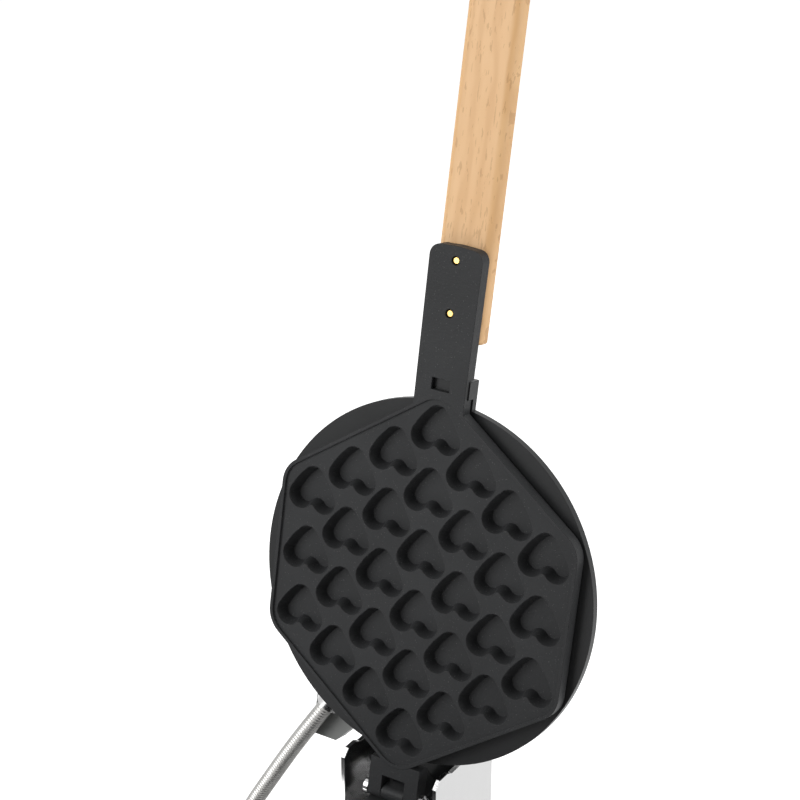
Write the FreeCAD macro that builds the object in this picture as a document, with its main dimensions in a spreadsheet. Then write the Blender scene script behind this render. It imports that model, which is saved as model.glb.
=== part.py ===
import FreeCAD, Part
import math
import os
import Sketcher
from FreeCAD import Vector, Placement, Rotation

# Bubble waffle maker, open, standing on its rubber feet. Millimetres, +Z up, +X to the right, and the
# handles' side of the lower pan towards -Y. The origin is the middle of the bottom of the bounding box.
# Both pans are modelled in one pan frame: X across, Y along the pan away from the hinge, Z out of the
# mould face, with the hinge pin's axis at Y = 0 and the rims' meeting plane at Z = 0.

doc = FreeCAD.newDocument("BubbleWaffleMaker")
sheet = doc.addObject("Spreadsheet::Sheet", "Sizes")
sizes = {
    # mould plates
    "plate_half_width": 88.0,
    "plate_tip": 105.2,
    "plate_slant_deg": 35.0,
    "plate_corner_rad": 16.0,
    "plate_middle": 118.0,
    "flange_thick": 7.0,
    "plate_thick": 12.0,
    "back_inset": 3.0,
    "back_rad": 94.2,
    "tip_pad_width": 26.0,
    "tip_pad_start": 90.0,
    "tip_pad_end": 96.6,
    "tip_pad_thick": 2.4,
    "tip_pad_gap": 0.4,
    "rim_width": 1.8,
    "rim_height": 1.2,
    "cup_depth": 7.0,
    "cup_draft_deg": 20.0,
    "cup_column_pitch": 23.1,
    "cup_pitch": 33.0,
    "cup_tip_rad": 7.0,
    "cup_lobe_rad": 7.3,
    "cup_lobe_out": 7.25,
    "cup_tip_up": 5.35,
    "cup_lobe_down": 5.1,
    "cup_notch_rad": 2.2,
    "cup_row_shift": 2.0,
    # stem
    "stem_width": 30.6,
    "stem_foot_width": 29.0,
    "stem_end": 297.0,
    "stem_corner_rad": 6.0,
    "neck_thick": 2.5,
    "neck_start": 220.3,
    "neck_end": 230.6,
    "window_width": 10.8,
    "window_length": 6.3,
    "window_start": 222.6,
    "handle_screw_far": 289.6,
    "handle_screw_near": 262.6,
    # hinge
    "pin_depth": 4.5,
    "pin_rad": 2.5,
    "pin_play": 0.05,
    "eye_rad": 4.3,
    "fork_half_width": 15.0,
    "fork_slot_half": 7.0,
    "fork_slot_end": 10.0,
    "tongue_play": 0.3,
    "cap_rad": 4.6,
    "cap_thick": 4.0,
    "cap_play": 0.2,
    "open_lean_deg": 12.1,
    # housings
    "dish_rad": 97.4,
    "dish_front": 7.8,
    "dish_band": 4.4,
    "dish_back_rad": 77.0,
    "dish_back": 34.0,
    "dish_wall": 2.6,
    "dish_ledge": 1.6,
    "dish_ledge_gap": 0.5,
    "lug_front": 2.8,
    "lug_back": 11.6,
    "lug_gap": 0.5,
    "boss_rad": 5.5,
    "boss_place": 62.0,
    "screw_rad": 2.0,
    "screw_head_rad": 3.8,
    "screw_head_tall": 2.4,
    # handles
    "handle_width": 30.8,
    "handle_thick": 11.3,
    "handle_start": 248.0,
    "handle_length": 200.0,
    "handle_edge_rad": 4.5,
    "handle_screw_rad": 2.2,
    # heaters
    "heater_rod_rad": 3.3,
    "heater_ring_rad": 50.0,
    "insulation_rad": 70.0,
    "insulation_thick": 6.0,
    # conduit
    "hose_rad": 4.8,
    "hose_bore": 3.4,
    "connector_rad": 7.0,
    "connector_end": 101.5,
    "connector_depth": 15.3,
    # flip shaft and post
    "hinge_back": 8.0,
    "shaft_rad": 9.0,
    "shaft_bore": 6.0,
    "shaft_play": 0.05,
    "block_back": 19.9,
    "block_gap": 0.3,
    "post_front": 7.5,
    "post_half_width": 29.5,
    "post_length": 61.0,
    "post_horn_top": 21.2,
    "post_top": 19.0,
    "post_wall": 2.3,
    "post_edge_rad": 3.0,
    "post_foot_thick": 3.0,
    "bearing_rad": 13.0,
    "flange_half": 19.0,
    "flange_lip": 3.0,
    # base
    "pan_rise": 110.0,
    "base_half_width": 130.0,
    "base_front": 265.0,
    "base_rear": 85.0,
    "base_tall": 75.0,
    "base_wall": 1.5,
    "base_edge_rad": 8.0,
    "floor_thick": 1.5,
    "foot_tall": 15.0,
    "foot_rad": 14.0,
    "foot_inset": 24.0,
    "foot_screw_rad": 2.5,
    # controls
    "panel_row": 40.0,
    "rocker_place": 82.0,
    "rocker_width": 13.0,
    "rocker_tall": 22.0,
    "timer_place": 20.0,
    "thermostat_place": 60.0,
    "lamp_place": 22.0,
    "lamp_gap": 24.0,
    "knob_rad": 19.0,
    "knob_tall": 20.0,
    "spindle_rad": 3.0,
    "gland_place": 70.0,
    "gland_drop": 6.0,
    "terminal_width": 24.0,
    "terminal_length": 64.0,
    "terminal_tall": 18.0,
    "gland_rad": 8.0,
}
for row, (name, number) in enumerate(sizes.items(), 1):
    sheet.set("A%d" % row, name)
    sheet.set("B%d" % row, "%.6g" % number)
    sheet.setAlias("B%d" % row, name)
doc.recompute()


def val(name):
    return float(sheet.get(name))


def ref(text):
    """Turns size names in a formula into references to the sheet."""
    words = []
    word = ""
    for letter in text + " ":
        if letter.isalnum() or letter == "_" or (letter == "." and word):
            word += letter
        else:
            words.append("<<Sizes>>." + word if word in sizes else word)
            words.append(letter)
            word = ""
    return "".join(words).strip()


def bind(thing, prop, formula):
    thing.setExpression(prop, ref(formula))


nodes = {}


def keep(thing, label):
    thing.Label = label
    nodes[label] = thing
    return thing


def newBody(label):
    body = doc.addObject("PartDesign::Body", label + "_body")
    return keep(body, label)


def originPart(body, role):
    for feature in body.Origin.OriginFeatures:
        if feature.Role == role:
            return feature
    raise RuntimeError(role)


def newSketch(body, plane, offset=("0", "0", "0")):
    """A sketch on one of the body's own origin planes, moved by three formulas in the plane's own axes."""
    sketch = body.newObject("Sketcher::SketchObject", body.Label + "_sketch")
    sketch.AttachmentSupport = [(originPart(body, plane), "")]
    sketch.MapMode = "FlatFace"
    for axis, formula in zip("xyz", offset):
        if formula != "0":
            bind(sketch, "AttachmentOffset.Base." + axis, formula)
    return sketch


def addBox(sketch, width, tall):
    """A rectangle round the sketch's own middle."""
    corners = [(-9, -8), (9, -8), (9, 8), (-9, 8)]
    first = sketch.GeometryCount
    for here, there in zip(corners, corners[1:] + corners[:1]):
        sketch.addGeometry(Part.LineSegment(Vector(*here, 0), Vector(*there, 0)), False)
    for side in range(4):
        sketch.addConstraint(Sketcher.Constraint("Coincident", first + side, 2, first + (side + 1) % 4, 1))
    sketch.addConstraint(Sketcher.Constraint("Horizontal", first))
    sketch.addConstraint(Sketcher.Constraint("Horizontal", first + 2))
    sketch.addConstraint(Sketcher.Constraint("Vertical", first + 1))
    sketch.addConstraint(Sketcher.Constraint("Vertical", first + 3))
    sketch.addConstraint(Sketcher.Constraint("Symmetric", first, 1, first + 2, 1, -1, 1))
    for side, word, kind, formula in ((0, "wide", "DistanceX", width), (1, "tall", "DistanceY", tall)):
        index = sketch.addConstraint(Sketcher.Constraint(kind, first + side, 1, first + side, 2, 5.0))
        sketch.renameConstraint(index, "%s%d" % (word, first))
        bind(sketch, "Constraints.%s%d" % (word, first), formula)


def addCircle(sketch, radius, middle=(0.0, 0.0)):
    index = sketch.addGeometry(Part.Circle(Vector(middle[0], middle[1], 0), Vector(0, 0, 1), 5.0), False)
    if middle == (0.0, 0.0):
        sketch.addConstraint(Sketcher.Constraint("Coincident", index, 3, -1, 1))
    else:
        sketch.addConstraint(Sketcher.Constraint("DistanceX", -1, 1, index, 3, middle[0]))
        sketch.addConstraint(Sketcher.Constraint("DistanceY", -1, 1, index, 3, middle[1]))
    name = "round%d" % index
    row = sketch.addConstraint(Sketcher.Constraint("Radius", index, 5.0))
    sketch.renameConstraint(row, name)
    bind(sketch, "Constraints." + name, radius)


def addOutline(sketch, points):
    """A closed outline of straight edges through points worked out from the sheet's values."""
    for here, there in zip(points, points[1:] + points[:1]):
        sketch.addGeometry(Part.LineSegment(Vector(*here, 0), Vector(*there, 0)), False)


def addPieces(sketch, pieces):
    for piece in pieces:
        sketch.addGeometry(piece, False)


def pad(body, sketch, length, reverse=False, middle=False):
    feature = body.newObject("PartDesign::Pad", body.Label + "_pad")
    feature.Profile = sketch
    feature.Reversed = reverse
    feature.Midplane = middle
    bind(feature, "Length", length)
    body.Tip = feature
    return feature


def cut(body, sketch, length, reverse=False, middle=False, through=False, draft=None):
    feature = body.newObject("PartDesign::Pocket", body.Label + "_pocket")
    feature.Profile = sketch
    feature.Reversed = reverse
    feature.Midplane = middle
    if through:
        feature.Type = "ThroughAll"
    else:
        bind(feature, "Length", length)
    if draft:
        bind(feature, "TaperAngle", draft)
    body.Tip = feature
    return feature


def turn(body, sketch, axis="V_Axis", carve=False, angle=360.0):
    kind = "PartDesign::Groove" if carve else "PartDesign::Revolution"
    feature = body.newObject(kind, body.Label + "_turned")
    feature.Profile = sketch
    feature.ReferenceAxis = (sketch, [axis])
    feature.Angle = angle
    body.Tip = feature
    return feature


def soften(body, size, test, kind="Fillet"):
    """Rounds or chamfers the edges of the body's tip that pass a test on their ends and middle."""
    doc.recompute()
    base = body.Tip
    chosen = []
    for number, edge in enumerate(base.Shape.Edges, 1):
        ends = [vertex.Point for vertex in edge.Vertexes]
        middle = edge.valueAt((edge.FirstParameter + edge.LastParameter) / 2)
        if test(edge, ends, middle):
            chosen.append("Edge%d" % number)
    if not chosen:
        raise RuntimeError("no edge to soften on " + body.Label)
    feature = body.newObject("PartDesign::" + kind, body.Label + "_" + kind)
    feature.Base = (base, chosen)
    bind(feature, "Radius" if kind == "Fillet" else "Size", size)
    body.Tip = feature
    return feature


def along(edge, axis):
    """True where a straight edge runs along the given axis."""
    ends = [vertex.Point for vertex in edge.Vertexes]
    if len(ends) != 2 or not hasattr(edge.Curve, "Direction"):
        return False
    return abs(abs((ends[1] - ends[0]).normalize().dot(axis)) - 1) < 1e-6


xAxis = Vector(1, 0, 0)
yAxis = Vector(0, 1, 0)
zAxis = Vector(0, 0, 1)


# The upper pan turns about the pin; the lower pan is the same casting turned round and lying face up.
lean = val("open_lean_deg")
pinHeight = val("foot_tall") + val("base_tall") + val("pan_rise")
handleReach = val("handle_start") + val("handle_length")
handleBack = val("flange_thick") + val("handle_thick") - val("pin_depth")
slope = math.radians(lean)
rearReach = handleReach * math.sin(slope) + handleBack * math.cos(slope)
pinForward = (handleReach - max(rearReach, val("base_rear"))) / 2
upperTurn = Rotation(xAxis, 90 - lean)
lowerTurn = Rotation(zAxis, 180)
pinPoint = Vector(0, pinForward, pinHeight)
upperPlace = Placement(pinPoint - upperTurn.multVec(Vector(0, 0, -val("pin_depth"))), upperTurn)
lowerPlace = Placement(pinPoint - Vector(0, 0, val("pin_depth")), lowerTurn)
flipHeight = pinHeight - val("pin_depth")


# Mould plate: a hexagon with two upright sides, rounded corners, a raised rim round a shallow recess,
# thirty heart cups in staggered columns, a stem and a rear tab.
def hexagon(inset):
    """Corner points and rounding arcs of the hexagon, drawn in by the inset all round."""
    half = val("plate_half_width") - inset
    slant = math.radians(val("plate_slant_deg"))
    tip = val("plate_tip") - inset / math.cos(slant)
    side = tip - half * math.tan(slant)
    middle = val("plate_middle")
    corners = [(0, tip), (-half, side), (-half, -side), (0, -tip), (half, -side), (half, side)]
    corners = [Vector(x, y + middle, 0) for x, y in corners]
    radius = max(val("plate_corner_rad") - inset, 3.0)
    pieces = []
    starts = []
    stops = []
    for index, corner in enumerate(corners):
        before = (corners[index - 1] - corner).normalize()
        after = (corners[(index + 1) % 6] - corner).normalize()
        half_angle = before.getAngle(after) / 2
        back = radius / math.tan(half_angle)
        bisector = (before + after).normalize()
        peak = corner + bisector * (radius / math.sin(half_angle) - radius)
        starts.append(corner + before * back)
        stops.append(corner + after * back)
        pieces.append(Part.Arc(starts[-1], peak, stops[-1]))
    for index in range(6):
        pieces.append(Part.LineSegment(stops[index], starts[(index + 1) % 6]))
    return pieces


def tangentJoin(first, firstRad, second, secondRad, side):
    """The straight tangent of two circles, both on the same side of it."""
    line = second - first
    gap = math.hypot(line.x, line.y)
    angle = math.atan2(line.y, line.x) + side * math.acos((firstRad - secondRad) / gap)
    out = Vector(math.cos(angle), math.sin(angle), 0)
    return first + out * firstRad, second + out * secondRad


def heart(cx, cy):
    """A plump heart with its tip up: two lobes, a rounded tip and a softened notch."""
    lobe = val("cup_lobe_rad")
    tipRad = val("cup_tip_rad")
    soft = val("cup_notch_rad")
    out = val("cup_lobe_out")
    low = -val("cup_lobe_down")
    tip = Vector(cx, cy + val("cup_tip_up"), 0)
    right = Vector(cx + out, cy + low, 0)
    left = Vector(cx - out, cy + low, 0)
    rightTip, rightLobe = tangentJoin(tip, tipRad, right, lobe, 1)
    leftTip = Vector(2 * cx - rightTip.x, rightTip.y, 0)
    leftLobe = Vector(2 * cx - rightLobe.x, rightLobe.y, 0)
    drop = math.sqrt((lobe + soft) ** 2 - out ** 2)
    notch = Vector(cx, cy + low - drop, 0)
    rightNotch = notch + (right - notch).normalize() * soft
    leftNotch = Vector(2 * cx - rightNotch.x, rightNotch.y, 0)
    bulge = 0.55
    sideOut = Vector(rightTip.y - rightLobe.y, rightLobe.x - rightTip.x, 0).normalize()
    rightSide = (rightTip + rightLobe) * 0.5 + sideOut * bulge
    leftSide = Vector(2 * cx - rightSide.x, rightSide.y, 0)
    return [
        Part.Arc(leftTip, tip + Vector(0, tipRad, 0), rightTip),
        Part.Arc(rightTip, rightSide, rightLobe),
        Part.Arc(rightLobe, right + Vector(0.45, -0.89, 0).normalize() * lobe, rightNotch),
        Part.Arc(rightNotch, notch + Vector(0, soft, 0), leftNotch),
        Part.Arc(leftNotch, left + Vector(-0.45, -0.89, 0).normalize() * lobe, leftLobe),
        Part.Arc(leftLobe, leftSide, leftTip),
    ]


def mouldPlate(label, place):
    body = newBody(label)
    flange = newSketch(body, "XY_Plane")
    addPieces(flange, hexagon(0.0))
    pad(body, flange, "flange_thick", reverse=True)
    back = newSketch(body, "XY_Plane", ("0", "0", "0 - flange_thick"))
    addPieces(back, hexagon(val("back_inset")))
    pad(body, back, "plate_thick - flange_thick", reverse=True)
    # behind the flange the slab is round, to go inside the housing, and it has a pad under the last cup
    around = newSketch(body, "XY_Plane", ("0", "plate_middle", "0 - plate_thick"))
    addCircle(around, "plate_tip + 5")
    addCircle(around, "back_rad")
    cut(body, around, "plate_thick - flange_thick", reverse=True)
    tipPad = newSketch(body, "XY_Plane", (
        "0", "plate_middle + (tip_pad_start + tip_pad_end) / 2", "0 - flange_thick"))
    addBox(tipPad, "tip_pad_width", "tip_pad_end - tip_pad_start")
    pad(body, tipPad, "tip_pad_thick", reverse=True)
    # the stem, its end rounded, and the rear tab with its round end about the pin
    stem = newSketch(body, "XY_Plane")
    half = val("stem_width") / 2
    foot = val("stem_foot_width") / 2
    end = val("stem_end")
    start = val("plate_middle") + val("plate_tip") - 18
    addOutline(stem, [(-foot, start), (foot, start), (half, end - 0.8), (0, end), (-half, end - 0.8)])
    pad(body, stem, "flange_thick", reverse=True)
    soften(body, "stem_corner_rad", lambda edge, ends, middle: along(edge, zAxis)
           and middle.y > end - 2 and abs(middle.x) > 5)
    neck = newSketch(body, "XY_Plane", ("0", "(neck_start + neck_end) / 2", "0 - flange_thick"))
    addBox(neck, "stem_width * 2", "neck_end - neck_start")
    cut(body, neck, "flange_thick - neck_thick", reverse=True)
    tab = newSketch(body, "YZ_Plane")
    tabEnd = val("plate_middle") - val("dish_rad") - 1.6
    eye = val("eye_rad")
    depth = val("pin_depth")
    addPieces(tab, [
        Part.LineSegment(Vector(0, -depth + eye, 0), Vector(tabEnd, -depth + eye, 0)),
        Part.LineSegment(Vector(tabEnd, -depth + eye, 0), Vector(tabEnd, -depth - eye, 0)),
        Part.LineSegment(Vector(tabEnd, -depth - eye, 0), Vector(0, -depth - eye, 0)),
        Part.Arc(Vector(0, -depth - eye, 0), Vector(-eye, -depth, 0), Vector(0, -depth + eye, 0)),
    ])
    pad(body, tab, "fork_half_width * 2", middle=True)
    # recess inside the rim, then the cups, one column at a time
    field = newSketch(body, "XY_Plane")
    addPieces(field, hexagon(val("rim_width")))
    cut(body, field, "rim_height")
    doc.recompute()
    for column in range(-3, 4):
        rows = 6 - abs(column)
        low = val("plate_middle") + val("cup_row_shift") - (rows - 1) / 2 * val("cup_pitch")
        cups = newSketch(body, "XY_Plane", ("0", "0", "0 - rim_height"))
        addPieces(cups, heart(column * val("cup_column_pitch"), low))
        pocket = cut(body, cups, "cup_depth", draft="0 - cup_draft_deg")
        pattern = body.newObject("PartDesign::LinearPattern", label + "_column")
        pattern.Originals = [pocket]
        pattern.Direction = (cups, ["V_Axis"])
        pattern.Occurrences = rows
        pocket.Refine = False
        pattern.Refine = False
        bind(pattern, "Length", "cup_pitch * %d" % (rows - 1))
        body.Tip = pattern
    # holes: two handle screws, the window in the neck and three blind bosses for the plate screws
    for spot in ("handle_screw_far", "handle_screw_near"):
        hole = newSketch(body, "XY_Plane", ("0", spot, "0"))
        addCircle(hole, "handle_screw_rad + 0.15")
        cut(body, hole, "flange_thick")
    window = newSketch(body, "XY_Plane", ("0", "window_start + window_length / 2", "0"))
    addBox(window, "window_width", "window_length")
    cut(body, window, "flange_thick")
    for turned in (30, 150, 270):
        hole = newSketch(body, "XY_Plane", (
            "boss_place * cos(%d)" % turned, "plate_middle + boss_place * sin(%d)" % turned,
            "0 - plate_thick"))
        addCircle(hole, "screw_rad")
        cut(body, hole, "3.2", reverse=True)
    body.Placement = place
    return body


# The lower pan's plate is the plain casting; the upper one has the slot between its cheeks and the
# pin's hole cut into the same casting.
lowerPlate = mouldPlate("lower_plate", lowerPlace)
doc.recompute()
casting = doc.addObject("Part::Feature", "upper_casting")
casting.Shape = lowerPlate.Tip.Shape.copy()
casting.Placement = Placement()


def newPart(kind, name, **formulas):
    """A primitive or boolean whose sizes are bound to the sheet."""
    thing = doc.addObject("Part::" + kind, name)
    for prop, formula in formulas.items():
        bind(thing, prop.replace("_", "."), formula)
    return thing


def cutAway(label, base, tools):
    """The base less each of the tools in turn."""
    for number, tool in enumerate(tools):
        step = doc.addObject("Part::Cut", "%s_cut%d" % (label, number))
        step.Base = base
        step.Tool = tool
        base = step
    return keep(base, label)


forkSlot = newPart("Box", "fork_slot", Length="fork_slot_half * 2", Width="fork_slot_end + eye_rad + 4",
                   Height="pin_depth * 2 + 4")
bind(forkSlot, "Placement.Base.x", "0 - fork_slot_half")
bind(forkSlot, "Placement.Base.y", "0 - eye_rad - 4")
bind(forkSlot, "Placement.Base.z", "0 - pin_depth * 2 - 2")
pinHole = newPart("Cylinder", "pin_hole", Radius="pin_rad", Height="fork_half_width * 2 + 2")
pinHole.Placement = Placement(Vector(), Rotation(yAxis, 90))
bind(pinHole, "Placement.Base.x", "0 - fork_half_width - 1")
bind(pinHole, "Placement.Base.z", "0 - pin_depth")
upperPlate = cutAway("upper_plate", casting, [forkSlot, pinHole])
upperPlate.Placement = upperPlace


# Housing: a round dish with a short upright band, a tapered wall and a flat back, screw bosses inside,
# and a lug that fills the room behind the plate's neck.
def dishProfile(grow):
    """Half section of the dish's outside, swollen by the clearance: radius, then depth as negative Z."""
    front = -val("dish_front")
    band = front - val("dish_band")
    rim = val("dish_rad") + grow
    return [(0, front), (rim, front), (rim, band), (val("dish_back_rad") + grow, -val("dish_back") - grow),
            (0, -val("dish_back") - grow)]


def housing(label, place):
    body = newBody(label)
    outside = newSketch(body, "XZ_Plane")
    addOutline(outside, dishProfile(0.0))
    turn(body, outside)
    wall = val("dish_wall")
    front = -val("dish_front")
    inside = newSketch(body, "XZ_Plane")
    rim = val("dish_rad") - wall
    under = front - val("dish_ledge")
    addOutline(inside, [(0, under), (rim, under), (rim, front - val("dish_band") - 0.8),
                        (val("dish_back_rad") - wall * 0.8, -val("dish_back") + wall),
                        (0, -val("dish_back") + wall)])
    turn(body, inside, carve=True)
    # a flat ledge round the plate's back closes the front of the dish, and its round rim stays whole
    opening = newSketch(body, "XY_Plane", ("0", "0 - plate_middle", "0 - dish_front"))
    addPieces(opening, hexagon(val("back_inset") - val("dish_ledge_gap")))
    cut(body, opening, "dish_ledge")
    lip = newSketch(body, "XY_Plane", ("0", "0", "0 - dish_front"))
    addCircle(lip, "dish_rad")
    addCircle(lip, "dish_rad - dish_wall")
    pad(body, lip, "dish_ledge", reverse=True)
    lugFrom = val("dish_rad") - 2.2
    lugTo = val("neck_end") - val("plate_middle") - val("lug_gap")
    step = val("neck_start") - val("plate_middle") + 0.4
    lug = newSketch(body, "YZ_Plane")
    low = -val("lug_back")
    addOutline(lug, [(lugFrom, low), (lugTo, low), (lugTo, -val("lug_front")), (step, -val("lug_front")),
                     (step, front), (lugFrom, front)])
    pad(body, lug, "stem_width", middle=True)
    notch = newSketch(body, "XY_Plane", (
        "0", "(tip_pad_start + tip_pad_end + tip_pad_gap) / 2", "0 - dish_front"))
    addBox(notch, "tip_pad_width + tip_pad_gap * 2", "tip_pad_end + tip_pad_gap - tip_pad_start")
    cut(body, notch, "flange_thick + tip_pad_thick + tip_pad_gap - dish_front")
    for turned in (30, 150, 270):
        boss = newSketch(body, "XY_Plane", (
            "boss_place * cos(%d)" % turned, "boss_place * sin(%d)" % turned, "0 - plate_thick"))
        addCircle(boss, "boss_rad")
        pad(body, boss, "dish_back - plate_thick - 0.5", reverse=True)
        hole = newSketch(body, "XY_Plane", (
            "boss_place * cos(%d)" % turned, "boss_place * sin(%d)" % turned, "0 - plate_thick + 1"))
        addCircle(hole, "screw_rad + 0.2")
        cut(body, hole, "dish_back")
    body.Placement = place.multiply(Placement(Vector(0, val("plate_middle"), 0), Rotation()))
    return body


housing("upper_housing", upperPlace)
housing("lower_housing", lowerPlace)


# Round pieces on the pans: each is a cylinder or a small turned body in the pan frame.
def round_(label, place, at, direction, steps):
    """A turned piece: steps are (height, radius) pairs of formulas, from the seat outwards."""
    body = newBody(label)
    profile = newSketch(body, "XZ_Plane")
    addOutline(profile, steps)
    turn(body, profile)
    body.Placement = place.multiply(Placement(at, Rotation(zAxis, direction)))
    return body


def screwPoints(shank, length, head, tall, dome=0.5):
    """Half section of a screw: its shank goes down from zero, its domed head up."""
    return [(0, -length), (shank, -length), (shank, 0), (head, 0), (head, tall * 0.55), (head - dome, tall),
            (0, tall)]


def setOf(label, place, spots, points, direction):
    """Identical turned pieces in one node."""
    copies = []
    for number, spot in enumerate(spots):
        body = doc.addObject("PartDesign::Body", "%s_one%d" % (label, number))
        body.Label = "%s_one%d" % (label, number)
        profile = newSketch(body, "XZ_Plane")
        addOutline(profile, points)
        turn(body, profile)
        body.Placement = place.multiply(Placement(spot, Rotation(zAxis, direction)))
        copies.append(body)
    group = doc.addObject("Part::Compound", label + "_set")
    group.Links = copies
    return keep(group, label)


def bossSpots(depth):
    spots = []
    for turned in (30, 150, 270):
        angle = math.radians(turned)
        spots.append(Vector(val("boss_place") * math.cos(angle),
                            val("plate_middle") + val("boss_place") * math.sin(angle), depth))
    return spots


def roundedBar(label, place, wide, deep, long_, edge, at):
    """A bar along the pan with its four long edges and its ends rounded."""
    body = newBody(label)
    section = newSketch(body, "XZ_Plane")
    addBox(section, wide, deep)
    pad(body, section, long_, reverse=True)
    soften(body, edge, lambda line, ends, middle: along(line, yAxis))
    soften(body, "handle_edge_rad / 3", lambda line, ends, middle: middle.y > val("handle_length") - 0.01
           or middle.y < 0.01)
    body.Placement = place.multiply(Placement(at, Rotation()))
    return body


def pan(word, place):
    """The pieces that both pans have."""
    roundedBar(word + "_handle", place, "handle_width", "handle_thick", "handle_length",
               "handle_edge_rad",
               Vector(0, val("handle_start"), -val("flange_thick") - val("handle_thick") / 2))
    setOf(word + "_handle_screws", place,
          [Vector(0, val(spot), -val("flange_thick") + 0.01) for spot in
           ("handle_screw_near", "handle_screw_far")],
          [(0, 0), (val("handle_screw_rad"), 0), (val("handle_screw_rad"), val("flange_thick") - 1.4),
           (val("handle_screw_rad") - 0.7, val("flange_thick") - 0.8), (0, val("flange_thick") - 0.8)],
          zAxis)
    back = -val("dish_back")
    setOf(word + "_plate_screws", place, bossSpots(back),
          screwPoints(val("screw_rad"), val("dish_back") - val("plate_thick") + 3, val("screw_head_rad"),
                      val("screw_head_tall")), Vector(0, 0, -1))
    # tubular heater: one open ring behind the plate with both ends turned back to the housing's floor
    rod = val("heater_rod_rad")
    ring = val("heater_ring_rad")
    level = -val("plate_thick") - rod - 0.1
    gap = math.radians(12)
    start = Vector(ring * math.sin(gap), -ring * math.cos(gap), 0)
    stop = Vector(-start.x, start.y, 0)
    path = Part.Wire([Part.Arc(start, Vector(0, ring, 0), stop).toShape()])
    tangent = Vector(math.cos(gap), math.sin(gap), 0)
    circle = Part.Wire([Part.Circle(start, tangent, rod).toShape()])
    heater = doc.addObject("Part::Feature", word + "_heater")
    heater.Shape = Part.Solid(path.makePipeShell([circle], True, True))
    heater.Placement = place.multiply(Placement(Vector(0, val("plate_middle"), level), Rotation()))
    keep(heater, word + "_heater")
    disc = newBody(word + "_insulation")
    outline = newSketch(disc, "XY_Plane")
    addCircle(outline, "insulation_rad")
    pad(disc, outline, "insulation_thick")
    for turned in (30, 150, 270):
        hole = newSketch(disc, "XY_Plane", ("boss_place * cos(%d)" % turned, "boss_place * sin(%d)" % turned,
                                            "insulation_thick"))
        addCircle(hole, "boss_rad + 0.5")
        cut(disc, hole, "insulation_thick")
    disc.Placement = place.multiply(Placement(
        Vector(0, val("plate_middle"), -val("dish_back") + val("dish_wall") + 0.05), Rotation()))


pan("upper", upperPlace)
pan("lower", lowerPlace)


# Conduit fitting of the upper pan: a collar on the dish's tapered wall, pointing out and towards the
# hinge, shaped to the wall on its inner side.
out = Vector(-0.53, -0.848, 0).normalize()
middle = Vector(0, val("plate_middle"), 0)
fitting = newPart("Cylinder", "upper_fitting_round", Radius="connector_rad", Height="14")
fitting.Placement = Placement(middle + out * (val("connector_end") - 14)
                              - Vector(0, 0, val("connector_depth")), Rotation(zAxis, out))
dishSolid = doc.addObject("Part::Feature", "dish_outside")
points = [Vector(x, 0, z) for x, z in dishProfile(0.05)]
dishSolid.Shape = Part.Face(Part.makePolygon(points + points[:1])).revolve(Vector(), zAxis, 360)
dishSolid.Placement = Placement(middle, Rotation())
upperConnector = cutAway("upper_hose_connector", fitting, [dishSolid])
upperConnector.Placement = upperPlace

# Wiring cover of the upper pan: a shallow box on the dish's back at the lower left, one corner cut off.
cover = newBody("upper_wiring_cover")
coverOutline = newSketch(cover, "XY_Plane", ("0", "0", "0 - 22.8"))
addOutline(coverOutline, [(-66, 8.5), (-51, 8.5), (-41.5, 19), (-33, 44), (-50, 62), (-66, 50)])
pad(cover, coverOutline, "8.5", reverse=True)
soften(cover, "1.0", lambda edge, ends, middle: along(edge, zAxis))
wallCut = newSketch(cover, "XZ_Plane", ("0", "0", "0 - plate_middle"))
addOutline(wallCut, dishProfile(0.05))
turn(cover, wallCut, carve=True)
cover.Placement = upperPlace

# Hinge pin with a domed cap on each end, turning with the upper pan.
pinHalf = val("fork_half_width") + val("cap_play") + val("cap_thick")
capRad = val("cap_rad")
pinRad = val("pin_rad") - val("pin_play")
seat = val("fork_half_width") + val("cap_play")
pin = newBody("hinge_pin")
pinShape = newSketch(pin, "XZ_Plane")
addPieces(pinShape, [
    Part.LineSegment(Vector(0, -pinHalf, 0), Vector(capRad - 1.5, -pinHalf, 0)),
    Part.LineSegment(Vector(capRad - 1.5, -pinHalf, 0), Vector(capRad, -pinHalf + 1.5, 0)),
    Part.LineSegment(Vector(capRad, -pinHalf + 1.5, 0), Vector(capRad, -seat, 0)),
    Part.LineSegment(Vector(capRad, -seat, 0), Vector(pinRad, -seat, 0)),
    Part.LineSegment(Vector(pinRad, -seat, 0), Vector(pinRad, seat, 0)),
    Part.LineSegment(Vector(pinRad, seat, 0), Vector(capRad, seat, 0)),
    Part.LineSegment(Vector(capRad, seat, 0), Vector(capRad, pinHalf - 1.5, 0)),
    Part.LineSegment(Vector(capRad, pinHalf - 1.5, 0), Vector(capRad - 1.5, pinHalf, 0)),
    Part.LineSegment(Vector(capRad - 1.5, pinHalf, 0), Vector(0, pinHalf, 0)),
    Part.LineSegment(Vector(0, pinHalf, 0), Vector(0, -pinHalf, 0)),
])
turn(pin, pinShape)
pin.Placement = Placement(pinPoint, Rotation(yAxis, 90))


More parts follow.
